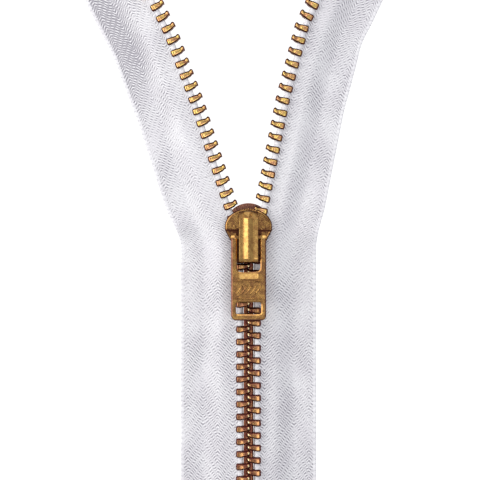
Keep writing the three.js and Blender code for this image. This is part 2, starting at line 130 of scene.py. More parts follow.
# A number that varies over a surface. Sums and products of it add Math nodes to its material.
class Field:
    def __init__(self, finish, socket):
        self.finish = finish
        self.socket = socket

    def math(self, operation, first, second):
        return self.finish.node("ShaderNodeMath", {"operation": operation}, {0: first, 1: second})

    def __add__(self, other):
        return self.math("ADD", self, other)

    def __sub__(self, other):
        return self.math("SUBTRACT", self, other)

    def __rsub__(self, other):
        return self.math("SUBTRACT", other, self)

    def __mul__(self, other):
        return self.math("MULTIPLY", self, other)

    __radd__ = __add__
    __rmul__ = __mul__


class Finish:
    """A material with one Principled shader. node() adds any other node and returns its output."""

    def __init__(self, name, **sockets):
        self.material = bpy.data.materials.new(name)
        self.material.use_nodes = True
        self.tree = self.material.node_tree
        self.shader = self.tree.nodes["Principled BSDF"]
        self.set(**sockets)

    def plug(self, socket, value):
        if isinstance(value, Field):
            self.tree.links.new(value.socket, socket)
        else:
            socket.default_value = value

    def node(self, kind, settings, inputs, output=0):
        made = self.tree.nodes.new(kind)
        for key, value in settings.items():
            if key == "stops":
                self.ramp(made, value)
            else:
                setattr(made, key, value)
        for key, value in inputs.items():
            self.plug(made.inputs[key], value)
        return Field(self, made.outputs[output])

    def ramp(self, node, stops):
        elements = node.color_ramp.elements
        for index, (place, colour) in enumerate(stops):
            element = elements[index] if index < 2 else elements.new(place)
            element.position = place
            element.color = (*colour, 1) if hasattr(colour, "__len__") else (colour, colour, colour, 1)

    def set(self, **sockets):
        for key, value in sockets.items():
            self.plug(self.shader.inputs[key.replace("_", " ")], value)

    def mix(self, factor, dark, light):
        """A colour between two, by factor."""
        sockets = {0: factor, 6: self.colour(dark), 7: self.colour(light)}
        return self.node("ShaderNodeMix", {"data_type": "RGBA"}, sockets, 2)

    def colour(self, value):
        return value if isinstance(value, Field) else (*value, 1)

    def noise(self, where, scale, detail=2.0, roughness=0.5):
        sockets = {"Vector": where, "Scale": scale, "Detail": detail, "Roughness": roughness}
        return self.node("ShaderNodeTexNoise", {}, sockets)

    def step(self, value, low, high):
        """0 below low, 1 above high and smooth between."""
        settings = {"interpolation_type": "SMOOTHSTEP"}
        return self.node("ShaderNodeMapRange", settings, {"Value": value, "From Min": low, "From Max": high})

    def place(self):
        return self.node("ShaderNodeTexCoord", {}, {}, "Object")

    def attribute(self, name):
        return self.node("ShaderNodeAttribute", {"attribute_name": name}, {}, "Fac")

    def bump(self, height, strength, distance):
        sockets = {"Height": height, "Strength": strength, "Distance": distance}
        return self.node("ShaderNodeBump", {}, sockets)


floor_finish = Finish("table_white", Roughness=0.9)
floor_finish.set(Base_Color=(0.2, 0.2, 0.2, 1), Emission_Color=(1, 1, 1, 1), Emission_Strength=1.0)
bpy.ops.mesh.primitive_plane_add(size=3, location=(0, 0, -0.05 * MM))
table = bpy.context.object
table.name = "table_top"
table.data.materials.append(floor_finish.material)


# ---- Tapes -------------------------------------------------------------------------------------
# Each tape is one strip of white polyester, woven in herringbone columns with a corded inner edge.
# It is cut in three lengths that meet between the bends, so that each length bends at one fold.

PITCH = 2.93
LEFT, RIGHT = -1, 1
SIDES = {"left": LEFT, "right": RIGHT}
SPREADS = {"left": (18.0, 20.7, 26.6), "right": (11.3, 14.7, 25.0)}
ARM_PITCHES = (12, 6, 3)
BEAD_OFFSET = 2.0
BEAD_RADIUS = 0.7
CHAIN_Z = 2.35
TAPE_THICKNESS = 0.5
TAPE_EDGE = 14.0
LEVEL_WIDTH = 3.9
SLOPE_WIDTH = 4.1
TAPE_FOOT = CAD_BOX[0][1] / MM
TAPE_TOP = 71.95
GRID = 0.16
WEAVE_HEIGHT = 0.08
COLUMN_WIDTH = 3.5
TWILL_STEP, TWILL_RUN = 0.78, 0.82
FLOAT_STEP, FLOAT_RUN = 2.1, 1.5
MIDDLE_RELIEF = 0.64
SELVEDGE_RELIEF = 0.66
SELVEDGE_RIB = 1.25
CORD_TWIST = 1.1
CORD_COVER = 0.06
UNDERSIDE_SHIFT = 0.4
COLLAR_RISE = 0.35
CLOTH_START = 0.3
SAG, RUFFLE = 0.45, 0.9
SLIDER_ZONE = (-5.0, 9.0)
FOLD_ZONE = 5.0


def smooth(value, low, high):
    """0 below low, 1 above high, and 3t^2 - 2t^3 between."""
    t = np.clip((value - low) / (high - low), 0, 1)
    return t * t * (3 - 2 * t)


def mesh_object(name, points, faces, attributes=None, uvs=None, shade_smooth=True):
    """A mesh object from points in millimetres and faces of vertex indices."""
    mesh = bpy.data.meshes.new(name)
    mesh.from_pydata((np.asarray(points, float) * MM).tolist(), [], faces)
    for key, values in (attributes or {}).items():
        layer = mesh.attributes.new(key, "FLOAT", "POINT")
        layer.data.foreach_set("value", np.asarray(values, np.float32))
    if uvs is not None:
        loops = np.empty(len(mesh.loops), np.int32)
        mesh.loops.foreach_get("vertex_index", loops)
        layer = mesh.uv_layers.new(name="weave")
        layer.data.foreach_set("uv", uvs[loops].astype(np.float32).ravel())
    mesh.polygons.foreach_set("use_smooth", np.full(len(mesh.polygons), shade_smooth))
    mesh.validate()
    mesh.update()
    return link(name, mesh)


def tube_faces(rings, around, offset=0):
    """Quads of a closed tube of rings of points, each ring joined to the next."""
    r, a = np.meshgrid(np.arange(rings - 1), np.arange(around), indexing="ij")
    b = (a + 1) % around
    quads = np.stack([r * around + a, r * around + b, (r + 1) * around + b, (r + 1) * around + a], -1)
    return (quads.reshape(-1, 4) + offset).tolist()


def closed_between(upper, lower):
    """Rings of points and faces of the closed shell between two grids of rows of points."""
    rows, across = upper.shape[:2]
    ring = np.concatenate([upper, lower[:, ::-1]], 1)
    around = 2 * across
    faces = tube_faces(rows, around)
    last = (rows - 1) * around
    for k in range(across - 1):
        other = around - 1 - k
        faces.append([k, other, other - 1, k + 1])
        faces.append([last + k + 1, last + other - 1, last + other, last + k])
    return ring, faces


def turned(points, angle, origin=(0.0, 0.0)):
    """Points turned about a vertical axis through origin, by one angle or one for each point."""
    x = points[..., 0] - origin[0]
    y = points[..., 1] - origin[1]
    out = points.copy()
    out[..., 0] = origin[0] + x * np.cos(angle) - y * np.sin(angle)
    out[..., 1] = origin[1] + x * np.sin(angle) + y * np.cos(angle)
    return out


def bend_round(points, fold_y, angle, zone):
    """The strip bent about (0, fold_y): each point turns by angle times its share of the fold.
    The share is smooth(y, *zone) of the point's bent y, found by halving the interval 30 times."""
    x = points[..., 0]
    y = points[..., 1] - fold_y
    reach = np.hypot(x, y) + 1
    low, high = fold_y - reach, fold_y + reach
    for _ in range(30):
        middle = (low + high) / 2
        share = smooth(middle, *zone)
        bent = fold_y + x * np.sin(share * angle) + y * np.cos(share * angle)
        above = middle > bent
        high = np.where(above, middle, high)
        low = np.where(above, low, middle)
    return turned(points, smooth((low + high) / 2, *zone) * angle, (0.0, fold_y))


class Arm:
    """A straight stretch of a tape: where its bead starts, which way it points and how long it is."""

    def __init__(self, body, origin, heading, length, start):
        self.body = body
        self.origin = np.array(origin)
        self.heading = heading
        self.length = length
        self.start = start

    def placed(self, points):
        """Points of the stretch, in millimetres from its start, moved to where it lies."""
        out = turned(points, self.heading)
        out[..., 0] += self.origin[0]
        out[..., 1] += self.origin[1]
        return out


def arms_of(name):
    """The closed stretch of a tape, then the three open ones, each turned from the one before."""
    side = SIDES[name]
    arms = [Arm("chain", (side * BEAD_OFFSET, 0), 0.0, 0.0, 0.0)]
    origin = np.array([side * BEAD_OFFSET, 0.0])
    start = 0.0
    for number, (spread, count) in enumerate(zip(SPREADS[name], ARM_PITCHES)):
        heading = -side * np.radians(spread)
        length = count * PITCH
        arms.append(Arm(f"{name}_arm_{number + 1}", origin.copy(), heading, length, start))
        origin += length * np.array([-np.sin(heading), np.cos(heading)])
        start += length
    return arms


ARMS = {name: arms_of(name) for name in SIDES}


def weave(u, v, side):
    """Height of the herringbone, 0 to 1: twill lines climb and fall in turn from column to column.
    cos(line) runs across the lines and cos(cross) breaks each into floats. patch makes them tighter in
    places; on the left tape's far end they sink, a patch of painted shade, and the selvedge is ribbed."""
    v = v + 0.12 * np.sin(1.9 * u + 0.9 * v) + 0.08 * np.sin(3.7 * u - 1.3 * v)
    zigzag = COLUMN_WIDTH * np.abs((u / COLUMN_WIDTH + 0.5) % 2 - 1)
    line = 2 * np.pi * (v / TWILL_STEP - zigzag / TWILL_RUN)
    cross = 2 * np.pi * (v / FLOAT_STEP + zigzag / FLOAT_RUN)
    body = 0.5 + 0.5 * np.cos(line) * (0.5 + 0.5 * np.cos(cross))
    patch = 0.5 + 0.5 * np.sin(v / 4.3 + 2.1 * np.sin(u / 3.1 + v / 9.7)) * np.cos(u / 2.3 - v / 13.1)
    # A patch of painted shade on the left tape's far end: the weave sinks there, and the cloth is painted
    # darker.
    tone_mask = 0.5 * (1 - side) * smooth(v, 34, 50) * smooth(u, 4, 9)
    contrast = 0.5 + 0.8 * patch + 0.5 * tone_mask
    body = MIDDLE_RELIEF + (body - MIDDLE_RELIEF) * contrast - 0.12 * tone_mask
    rib = SELVEDGE_RELIEF + 0.14 * np.cos(2 * np.pi * v / SELVEDGE_RIB)
    selvedge = smooth(u, TAPE_EDGE - 0.9, TAPE_EDGE - 0.6)
    return body * (1 - selvedge) + rib * selvedge


def drape(u, v, side):
    """How far the cloth stands off its level: two sines along it, and beside the slider a ruffle, a
    cosine under an arch of sin^2. Both grow from nothing near the bead, as smooth(u) does."""
    loose = smooth(u, 4.7, 12)
    waves = 0.5 + 0.3 * np.sin(v / 7.5 + 1.3 * side) + 0.2 * np.sin(v / 3.9 - u / 5 + 2 * side)
    ruffle = np.sin(np.pi * np.clip((v + 4) / 22, 0, 1)) ** 2 * (0.5 - 0.5 * np.cos(v / 1.9 + side))
    return loose * (SAG * waves + RUFFLE * smooth(u, 7, 14) * ruffle)


def tape_height(u):
    """The middle of the cloth's thickness: level beside the teeth, then down to the table."""
    fall = smooth(u, LEVEL_WIDTH, LEVEL_WIDTH + SLOPE_WIDTH + 1)
    return CHAIN_Z + (TAPE_THICKNESS / 2 + 0.1 - CHAIN_Z) * fall


def tape_piece(name, side, parent, fold_y, angle, zone, y0, y1):
    """One length of cloth from y0 to y1 along its parent stretch, bent round fold_y. Its two faces stand
    half a thickness off level = tape_height + drape, less the relief, and rise where they wrap the bead."""
    across = int(round((TAPE_EDGE - CLOTH_START) / GRID)) + 1
    rows = int(round((y1 - y0) / GRID)) + 1
    u = np.linspace(CLOTH_START, TAPE_EDGE, across)
    v = np.linspace(y0, y1, rows)
    vv, uu = np.meshgrid(v, u, indexing="ij")
    along = vv + parent.start
    relief = weave(uu, along, side)
    under = weave(uu, along + UNDERSIDE_SHIFT, side)
    level = tape_height(uu) + drape(uu, along, side) + COLLAR_RISE * (1 - smooth(uu, 0.5, 1.2))
    edge = 1 - 0.6 * smooth(uu, TAPE_EDGE - 0.2, TAPE_EDGE)
    half = TAPE_THICKNESS / 2 * edge
    top = level + half - WEAVE_HEIGHT * (1 - relief)
    low = level - half + WEAVE_HEIGHT * (1 - under)
    notch = 0.02 * np.cos(2 * np.pi * along / SELVEDGE_RIB) * smooth(uu, TAPE_EDGE - 1, TAPE_EDGE)
    x = side * (uu + notch)
    upper = np.stack([x, vv, top], -1)
    lower = np.stack([x, vv, low], -1)
    ring, faces = closed_between(upper, lower)
    points = parent.placed(bend_round(ring, fold_y, angle, zone)).reshape(-1, 3)
    if side > 0:
        faces = [face[::-1] for face in faces]
    heights = np.concatenate([relief, under[:, ::-1]], 1).ravel()
    flat_u = np.concatenate([uu, uu[:, ::-1]], 1).ravel()
    flat_v = np.concatenate([along, along], 1).ravel()
    uvs = np.stack([flat_u, flat_v], -1) / 10
    piece = mesh_object(name, points, faces, {"weave": heights}, uvs)
    for face in piece.data.polygons[-2 * (across - 1):]:
        face.use_smooth = False
    return piece


def bead_piece(name, side, parent, fold_y, angle, zone, y0, y1):
    """The corded edge: a tube whose radius follows three strands, cos(3 a + 2 pi y / CORD_TWIST)."""
    around = 20
    rows = int(round((y1 - y0) / 0.2)) + 1
    turn = np.arange(around) * 2 * np.pi / around
    v = np.linspace(y0, y1, rows)
    vv, aa = np.meshgrid(v, turn, indexing="ij")
    cord = np.cos(3 * aa + 2 * np.pi * (vv + parent.start) / CORD_TWIST)
    radius = BEAD_RADIUS + CORD_COVER + 0.02 * cord
    points = np.stack([side * radius * np.cos(aa), vv, CHAIN_Z + radius * np.sin(aa)], -1)
    bent = bend_round(points, fold_y, angle, zone)
    placed = parent.placed(bent).reshape(-1, 3)
    faces = tube_faces(rows, around)
    faces.append(list(range(around))[::-1])
    faces.append([(rows - 1) * around + k for k in range(around)])
    if side > 0:
        faces = [face[::-1] for face in faces]
    # The cord's grooves run low, so the tape's finish paints them in its lilac grey shade.
    heights = (0.75 + 0.15 * cord).ravel()
    uvs = np.stack([aa.ravel() / 10, vv.ravel() / 10], -1)
    return mesh_object(name, placed, faces, {"weave": heights}, uvs)


def tape_finish():
    """White polyester: the yarns' tops are bright, and the gaps between them are painted a lilac grey shade.
    """
    cloth = Finish("woven_polyester", Roughness=0.88)
    height = cloth.attribute("weave")
    where = cloth.place()
    patchy = cloth.noise(where, 160, 3)
    yarn = cloth.noise(where, 3200, 2)
    # Painted shade: the lower the weave, the nearer the colour comes to the lilac grey.
    tone = cloth.step(height + 0.45 * (yarn - 0.5), 0.05, 0.75)
    bright = cloth.mix(cloth.step(patchy, 0.35, 0.65), (0.87, 0.85, 0.88), (0.93, 0.918, 0.937))
    cloth.set(Base_Color=cloth.mix(tone, (0.32, 0.305, 0.345), bright))
    cloth.set(Normal=cloth.bump(yarn, 0.30, 0.05 * MM))
    cloth.set(Sheen_Weight=0.15, Sheen_Roughness=0.4)
    return cloth.material


TAPE_FINISH = tape_finish()


def lay_tape(name):
    """Three lengths of one tape and of its bead, each bent between the two stretches it joins."""
    side = SIDES[name]
    arms = ARMS[name]
    middle = [TAPE_FOOT] + [arm.start + arm.length / 2 for arm in arms[1:3]] + [TAPE_TOP]
    nodes = [[f"{name}_tape_lower", f"{name}_tape_arm_1"], [f"{name}_tape_arm_2"], [f"{name}_tape_arm_3"]]
    for number in range(3):
        parent, child = arms[number], arms[number + 1]
        fold_y = child.start - parent.start
        zone = SLIDER_ZONE if number == 0 else (fold_y - FOLD_ZONE, fold_y + FOLD_ZONE)
        angle = child.heading - parent.heading
        y0 = middle[number] - parent.start
        y1 = middle[number + 1] - parent.start
        where = (side, parent, fold_y, angle, zone, y0, y1)
        sheet = tape_piece(f"{name}_tape_{number + 1}", *where)
        bead = bead_piece(f"{name}_bead_{number + 1}", *where)
        start = parent.placed(np.array([0.0, zone[0], CHAIN_Z])) * MM
        end = parent.placed(np.array([0.0, zone[1], CHAIN_Z])) * MM
        for piece in (sheet, bead):
            piece.data.materials.append(TAPE_FINISH)
            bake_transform(piece)
        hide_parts(*nodes[number])
        flat = (TAPE_EDGE * MM, (y1 - y0) * MM)


lay_tape("left")
lay_tape("right")


# ---- Teeth -------------------------------------------------------------------------------------
# Each tooth is a brass stamping clamped on the bead: two jaws, a waist and a cupped head.
# The finish is antique: bare metal on the faces that rub, brown oxide down the sides.

JAW_BACK = -0.94
JAW_HALF = 0.82
WAIST_HALF = 0.66
HEAD_HALF = 0.65
TIP = 2.5
TOOTH_HALF_THICKNESS = 1.3
NUB = 0.46
NUB_X = 2.12
CLOSED_TEETH = 20
SHIFT = {"left": 0.25, "right": 0.75}
WEB_TOP, WEB_FOOT = 3.1, 1.6
WEB_EDGE = 1.13
RINGS = (
    # (share of the outline, inset from it, height as a share of the half thickness, polish)
    (0.0, 0.24, 1.0, 1.0),
    (0.25, 0.34, 1.0, 1.0),
    (0.5, 0.34, 1.0, 1.0),
    (0.7, 0.34, 1.0, 1.0),
    (0.87, 0.34, 1.0, 1.0),
    (1.0, 0.34, 0.99, 0.8),
    (1.0, 0.26, 0.94, 0.0),
    (1.0, 0.07, 0.84, 0.0),
    (1.0, 0.0, 0.70, 0.0),
    (1.0, 0.0, 0.5, 0.0),
    (1.0, 0.0, 0.34, 0.0),
    (1.0, 0.0, 0.27, 0.0),
    (1.0, 0.0, 0.0, 0.0),
)


def power(value, exponent):
    """The value raised to exponent, keeping its sign."""
    return np.sign(value) * np.abs(value) ** exponent


def tooth_half_width(x):
    """Half the tooth's width: wide jaws, narrow waist, wide head."""
    waist = smooth(x, 0.55, 1.0)
    head = smooth(x, 1.25, 1.75)
    return JAW_HALF + (WAIST_HALF - JAW_HALF) * waist + (HEAD_HALF - WAIST_HALF) * head


def outward(outline):
    """The unit normal at each point of a closed outline that runs anticlockwise."""
    ahead = np.roll(outline, -1, 0) - np.roll(outline, 1, 0)
    normal = np.stack([ahead[:, 1], -ahead[:, 0]], -1)
    return normal / np.linalg.norm(normal, axis=1)[:, None]


def ring_solid(outline, centre, rings):
    """Points, faces and polish of a solid made of rings, each (share, inset, height, polish).
    A ring is the outline, inset along its normals and shrunk towards centre by share."""
    normal = outward(outline)
    centre = np.array(centre)
    points, polish_and_shade = [], []
    for share, inset, height, shine in rings:
        flat = centre + (outline - inset * normal - centre) * share
        points.append(np.column_stack([flat, np.full(len(flat), height)]))
        polish_and_shade.append(np.full(len(flat), shine))
    return np.concatenate(points), tube_faces(len(rings), len(outline)), np.concatenate(polish_and_shade)


def tooth_mesh():
    """A left tooth's points, faces and polish with painted shade, bead centre at the origin and head towards
    +X. Its outline is a superellipse of powers 7 and 5 whose half width follows tooth_half_width. Each bump
    and dent is a bell, exp(-((x - middle) / width)^2): the crease behind the head, the dome that stands on
    the head's face and the cup that shifts the head along the tape."""
    around = 56
    turn = (np.arange(around) + 0.5) * 2 * np.pi / around
    middle_x = (JAW_BACK + TIP) / 2
    x = middle_x + (TIP - JAW_BACK) / 2 * power(np.cos(turn), 2 / 7)
    y = tooth_half_width(x) * power(np.sin(turn), 2 / 5)
    rings = list(RINGS) + [(share, inset, -z, shine) for share, inset, z, shine in RINGS[-2::-1]]
    points, faces, polish_and_shade = ring_solid(np.column_stack([x, y]), (middle_x, 0), rings)
    px, py, pz = points.T
    head = smooth(px, 1.15, 1.45)
    slot = smooth(-px, 0.2, 0.7) * (np.abs(pz) < 0.3)
    crease = np.exp(-(((px - 1.1) / 0.16) ** 2))
    dome = np.exp(-(((px - NUB_X) / 0.38) ** 2) - (py / 0.42) ** 2)
    tilt = 0.13 * (1 - ((px - 0.15) / 0.9) ** 2) * (1 - head) * (np.abs(px - 0.15) < 0.9)
    face = np.abs(pz) ** 6
    pz = pz * (TOOTH_HALF_THICKNESS * (1 - 0.13 * head) + face * (0.28 * dome * head + tilt - 0.12 * crease))
    px = px + 0.75 * slot
    cup = np.exp(-(((px - NUB_X) / 0.52) ** 2) - (pz / 1.9) ** 2)
    py = py + NUB * cup
    # Painted shade: darker over the head round its dome, and darker in the crease behind the head.
    shade = (1 - 0.62 * head * (1 - dome)) * (1 - 0.6 * crease)
    return np.column_stack([px, py, pz]), faces, polish_and_shade * shade


TOOTH_POINTS, TOOTH_FACES, TOOTH_POLISH_AND_SHADE = tooth_mesh()


def brass_finish(name, bare, oxide, grain, roughness=(0.42, 0.24), relief=0.05, speckle=0.0, painted_highlight=None):
    """Antique brass: bare metal where the attribute is 1, oxide where it is 0, and a blotchy change between.
    Besides real wear, low values of the attribute stand in places for painted shade. With speckle, the grain
    leaves fine dark marks on bare metal as well. The highlight colour, the last argument, is painted where
    the
    attribute passes 1: a painted highlight."""
    brass = Finish(name, Metallic=1.0)
    where = brass.place()
    blotch = brass.noise(where, 900, 3, 0.6)
    fine = brass.noise(where, grain, 2)
    # This attribute carries the metal's polish and, in places, painted shade. Above 1 it marks painted
    # highlights.
    polish_and_shade = brass.attribute("polish_and_shade")
    marks = 0.45 * (blotch - 0.5) + speckle * (fine - 0.62)
    tone_mask = brass.step(polish_and_shade + marks, 0.15, 0.75)
    warm = brass.mix(brass.step(blotch, 0.35, 0.65), bare[0], bare[1])
    colour = brass.mix(tone_mask, oxide, warm)
    if painted_highlight:
        # A pale colour is painted where the attribute passes 1: a painted highlight.
        colour = brass.mix(brass.step(polish_and_shade, 0.85, 1.2), colour, painted_highlight)
    brass.set(Base_Color=colour)
    brass.set(Roughness=roughness[0] + (roughness[1] - roughness[0]) * tone_mask + 0.12 * (fine - 0.5))
    brass.set(Normal=brass.bump(fine, 0.5, relief * MM))
    return brass.material


TOOTH_FINISH = brass_finish(
    "antique_tooth_brass",
    bare=((0.84, 0.42, 0.21), (1.0, 0.69, 0.20)),
    oxide=(0.11, 0.030, 0.018),
    grain=5200,
    relief=0.02,
)
ROW_FINISH = brass_finish(
    "antique_row_brass",
    bare=((0.36, 0.155, 0.085), (0.60, 0.32, 0.12)),
    oxide=(0.13, 0.034, 0.028),
    grain=5200,
    relief=0.02,
    painted_highlight=(1.0, 0.90, 0.52),
)


def tooth_at(arm, side, y):
    """The tooth's points on a stretch, y millimetres from its start, mirrored on the right tape."""
    points = TOOTH_POINTS.copy()
    points[:, 0] *= -side
    points[:, 1] += y
    points[:, 2] += CHAIN_Z
    return arm.placed(points)


def mirrored(faces, side):
    """The left tooth's faces, or the same turned over for its mirror image."""
    return faces if side < 0 else [face[::-1] for face in faces]


def welded(thing):
    """Make each closed-up pole of the mesh one vertex and turn its normals outward."""
    work = bmesh.new()
    work.from_mesh(thing.data)
    bmesh.ops.remove_doubles(work, verts=work.verts, dist=1e-7)
    bmesh.ops.recalc_face_normals(work, faces=work.faces)
    work.to_mesh(thing.data)
    work.free()


def row_shade_web(name, side):
    """A dark strip among the closed heads of one row, scalloped as each head nests in the next: painted
    shade in the gaps between the heads.
    """
    y = np.linspace(-(CLOSED_TEETH - SHIFT[name]) * PITCH, -(1 - SHIFT[name]) * PITCH, 8 * CLOSED_TEETH)
    outer = WEB_EDGE + 0.04 * np.cos(2 * np.pi * (y / PITCH + SHIFT[name]))
    rows = []
    for height in (WEB_TOP, WEB_FOOT):
        edge = [side * 0.02 + 0 * y, side * 0.5 + 0 * y, side * outer]
        rows.append(np.stack([np.stack([x, y, 0 * y + height], -1) for x in edge], 1))
    ring, faces = closed_between(*rows)
    return ring.reshape(-1, 3), faces


for name, side in SIDES.items():
    arms = ARMS[name]
    chain_points, chain_faces = [], []
    for k in range(CLOSED_TEETH):
        y = -(k + 1 - SHIFT[name]) * PITCH
        chain_points.append(tooth_at(arms[0], side, y))
        chain_faces += [[v + k * len(TOOTH_POINTS) for v in face] for face in mirrored(TOOTH_FACES, side)]
    on_head = smooth(TOOTH_POINTS[:, 0], 1.3, 1.7)
    # On the heads the value passes 1 round the domes, where the row's finish paints a pale highlight.
    polish_and_shade = np.tile(0.75 * TOOTH_POLISH_AND_SHADE + on_head * (1.2 * TOOTH_POLISH_AND_SHADE - 0.4), CLOSED_TEETH)
    web_points, web_faces = row_shade_web(name, side)
    chain_faces += [[v + len(polish_and_shade) for v in face] for face in web_faces]
    chain_points.append(web_points)
    # The web stays dark: painted shade between the heads.
    polish_and_shade = np.concatenate([polish_and_shade, np.full(len(web_points), 0.3)])
    row = mesh_object(f"{name}_closed_row", np.concatenate(chain_points), chain_faces, {"polish_and_shade": polish_and_shade})
    welded(row)
    row.data.materials.append(ROW_FINISH)
    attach(row, "chain")
    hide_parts(f"{name}_closed_teeth")
    number = 1
    for arm, count in zip(arms[1:], ARM_PITCHES):
        for k in range(count):
            points = tooth_at(arm, side, (k + SHIFT[name]) * PITCH)
            faces = mirrored(TOOTH_FACES, side)
            piece = mesh_object(f"{name}_open_tooth_{number:02d}", points, faces, {"polish_and_shade": TOOTH_POLISH_AND_SHADE})
            welded(piece)
            piece.data.materials.append(TOOTH_FINISH)
            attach(piece, arm.body)
            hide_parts(f"{name}_tooth_{number:02d}")
            number += 1


# ---- Stops -------------------------------------------------------------------------------------
# A brass clip is pressed round each bead above the last tooth, and one round both beads below.

STOP_Y = 62.95
STOP_HALF = 1.1
STOP_SHIFT = 0.15
STOPS = {"left_top_stop": "left_arm_3", "right_top_stop": "right_arm_3", "bottom_stop": "chain"}


def superellipse(half_x, half_y, exponent, around, centre=(0.0, 0.0), angle=0.0):
    """Points of |x/a|^n + |y/b|^n = 1 about centre, turned by angle."""
    turn = (np.arange(around) + 0.5) * 2 * np.pi / around
    x = half_x * power(np.cos(turn), 2 / exponent)
    y = half_y * power(np.sin(turn), 2 / exponent)
    return np.column_stack([
        centre[0] + x * np.cos(angle) - y * np.sin(angle),
        centre[1] + x * np.sin(angle) + y * np.cos(angle),
    ])


def pillow(outline, centre, low, high, edge, shine=1.0, dark=0.0, fall=None):
    """A solid between two heights, its top and bottom edges rounded edge wide and fall high."""
    turn = np.linspace(0, np.pi / 2, 6)
    steps = [(1.0, edge * (1 - np.sin(a)), (fall or edge) * (1 - np.cos(a))) for a in turn]
    inner = [(share, edge + 0.02, 0.0) for share in (0.0, 0.5, 0.97)]
    top = [(share, inset, high - drop, shine) for share, inset, drop in inner + steps]
    low_side = [(share, inset, low + drop, dark) for share, inset, drop in (inner + steps)[::-1]]
    return ring_solid(outline, centre, top + low_side)


def joined(name, parts, finish, body, replaced):
    """One riding piece made of several solids, standing for the CAD nodes in replaced."""
    points, faces, polish_and_shade, count = [], [], [], 0
    for part_points, part_faces, part_polish_and_shade in parts:
        points.append(part_points)
        faces += [[v + count for v in face] for face in part_faces]
        polish_and_shade.append(part_polish_and_shade)
        count += len(part_points)
    piece = mesh_object(name, np.concatenate(points), faces, {"polish_and_shade": np.concatenate(polish_and_shade)})
    welded(piece)
    piece.data.materials.append(finish)
    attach(piece, body)
    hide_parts(*replaced)
    return piece


for node, body in STOPS.items():
    low, high = (np.array(corner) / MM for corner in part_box(node))
    if body == "chain":
        middle = tuple(((low + high) / 2)[:2])
        outline = superellipse((high[0] - low[0]) / 2, (high[1] - low[1]) / 2, 8, 40, middle)
    else:
        name = node.split("_")[0]
        arm = ARMS[name][3]
        spot = arm.placed(np.array([-SIDES[name] * STOP_SHIFT, STOP_Y - arm.start, 0.0]))
        middle = tuple(spot[:2])
        outline = superellipse(STOP_HALF, STOP_HALF, 8, 40, middle, arm.heading)
    clip = pillow(outline, middle, low[2], high[2], 0.25)
    joined(f"{node}_clip", [clip], TOOTH_FINISH, body, [node])


# ---- Slider body -------------------------------------------------------------------------------
# The slider is cast in zinc and brass plated: two blades, a flange down each side and a divider.
# Its upper blade has a raised rim round a stippled face, a step down behind the shoulders, and small
# ribs on its nose. The lower blade under it and parts of the upper one are darkened as painted shade.

BLADE = 0.9
UPPER_BLADE_Z = 3.8
BLADE_TOP_Z = 4.7
TAIL_Y = -4.23
TAIL_HALF = 3.90
SHOULDER_HALF = 5.52
SHOULDER_Y = 4.4
FLARE = (0.5, 3.5)
UPPER_NOSE = 4.13
CHANNEL_TAIL = 3.24
CHANNEL_SLOPE = 0.325
FLANGE_TOP_Y = 5.0
DIVIDER_SPAN = (5.2, 8.1)
LOWER_FLANGE = (BLADE - 0.2, 1.95)
UPPER_FLANGE = (2.75, UPPER_BLADE_Z + 0.2)
BLADE_MIDDLE = (0, 1.5)
NOSE_RIB_Y = 8.3
NOSE_RIB_STEP = 0.56
NOSE_RIBS_EACH_SIDE = 3

# A darker copy of the slider's brass: painted shade for the parts under the upper blade, and the tab's
# darker outer chamfers.
EDGE_AND_SHADE_FINISH = brass_finish(
    "dark_edge_and_painted_shade_brass",
    bare=((0.23, 0.098, 0.070), (0.34, 0.150, 0.098)),
    oxide=(0.09, 0.032, 0.022),
    grain=2400,
)
SLIDER_FINISH = brass_finish(
    "plated_slider_brass",
    bare=((0.32, 0.155, 0.060), (0.51, 0.28, 0.088)),
    oxide=(0.09, 0.032, 0.018),
    grain=3600,
    speckle=1.2,
)


def rounded(corners, spacing, radius):
    """A closed line through corners, sampled evenly, with its corners rounded by averaging over radius."""
    corners = np.array(corners, float)
    loop = np.vstack([corners, corners[:1]])
    length = np.concatenate([[0], np.cumsum(np.hypot(*np.diff(loop, axis=0).T))])
    count = int(length[-1] / spacing)
    at = np.arange(count) * length[-1] / count
    line = np.column_stack([np.interp(at, length, loop[:, 0]), np.interp(at, length, loop[:, 1])])
    reach = int(radius / spacing)
    return sum(np.roll(line, shift, 0) for shift in range(-reach, reach + 1)) / (2 * reach + 1)


def blade_outline(nose):
    """Tail, flare, shoulders and an elliptic nose that rises nose above the shoulders."""
    turn = np.linspace(0, np.pi, 48)
    arc = [(SHOULDER_HALF * np.cos(a), SHOULDER_Y + nose * np.sin(a)) for a in turn]
    right = [(TAIL_HALF, TAIL_Y), (TAIL_HALF, FLARE[0]), (SHOULDER_HALF, FLARE[1])]
    left = [(-x, y) for x, y in right[::-1]]
    return rounded(right + arc + left, 0.12, 0.36)


def wall(x_in, x_out, y0, y1, low, high):
    """A strip solid from y0 to y1 between two curves x_in(y) and x_out(y)."""
    y = np.linspace(y0, y1, 40)
    a, b = x_in(y), x_out(y)
    upper = np.stack([np.stack([a, y, 0 * y + high], -1), np.stack([b, y, 0 * y + high], -1)], 1)
    lower = upper.copy()
    lower[..., 2] = low
    ring, faces = closed_between(upper, lower)
    return ring.reshape(-1, 3), faces, np.full(ring.shape[0] * ring.shape[1], 0.3)


def channel_x(y):
    """Inner face of a flange: straight by the tail, then opening by CHANNEL_SLOPE y."""
    return CHANNEL_TAIL + CHANNEL_SLOPE * np.maximum(y, 0)


def flange_x(y):
    """Outer face of a flange: the blades' own edge, w sqrt(1 - (y / nose)^2) past the shoulders."""
    flare = TAIL_HALF + (SHOULDER_HALF - TAIL_HALF) * np.clip((y - FLARE[0]) / (FLARE[1] - FLARE[0]), 0, 1)
    return np.minimum(flare, SHOULDER_HALF * np.sqrt(1 - (np.maximum(y - SHOULDER_Y, 0) / UPPER_NOSE) ** 2))


def divider_x(y):
    """Half the width of the wedge that parts the two rows of teeth."""
    return 0.2 * y - 0.8


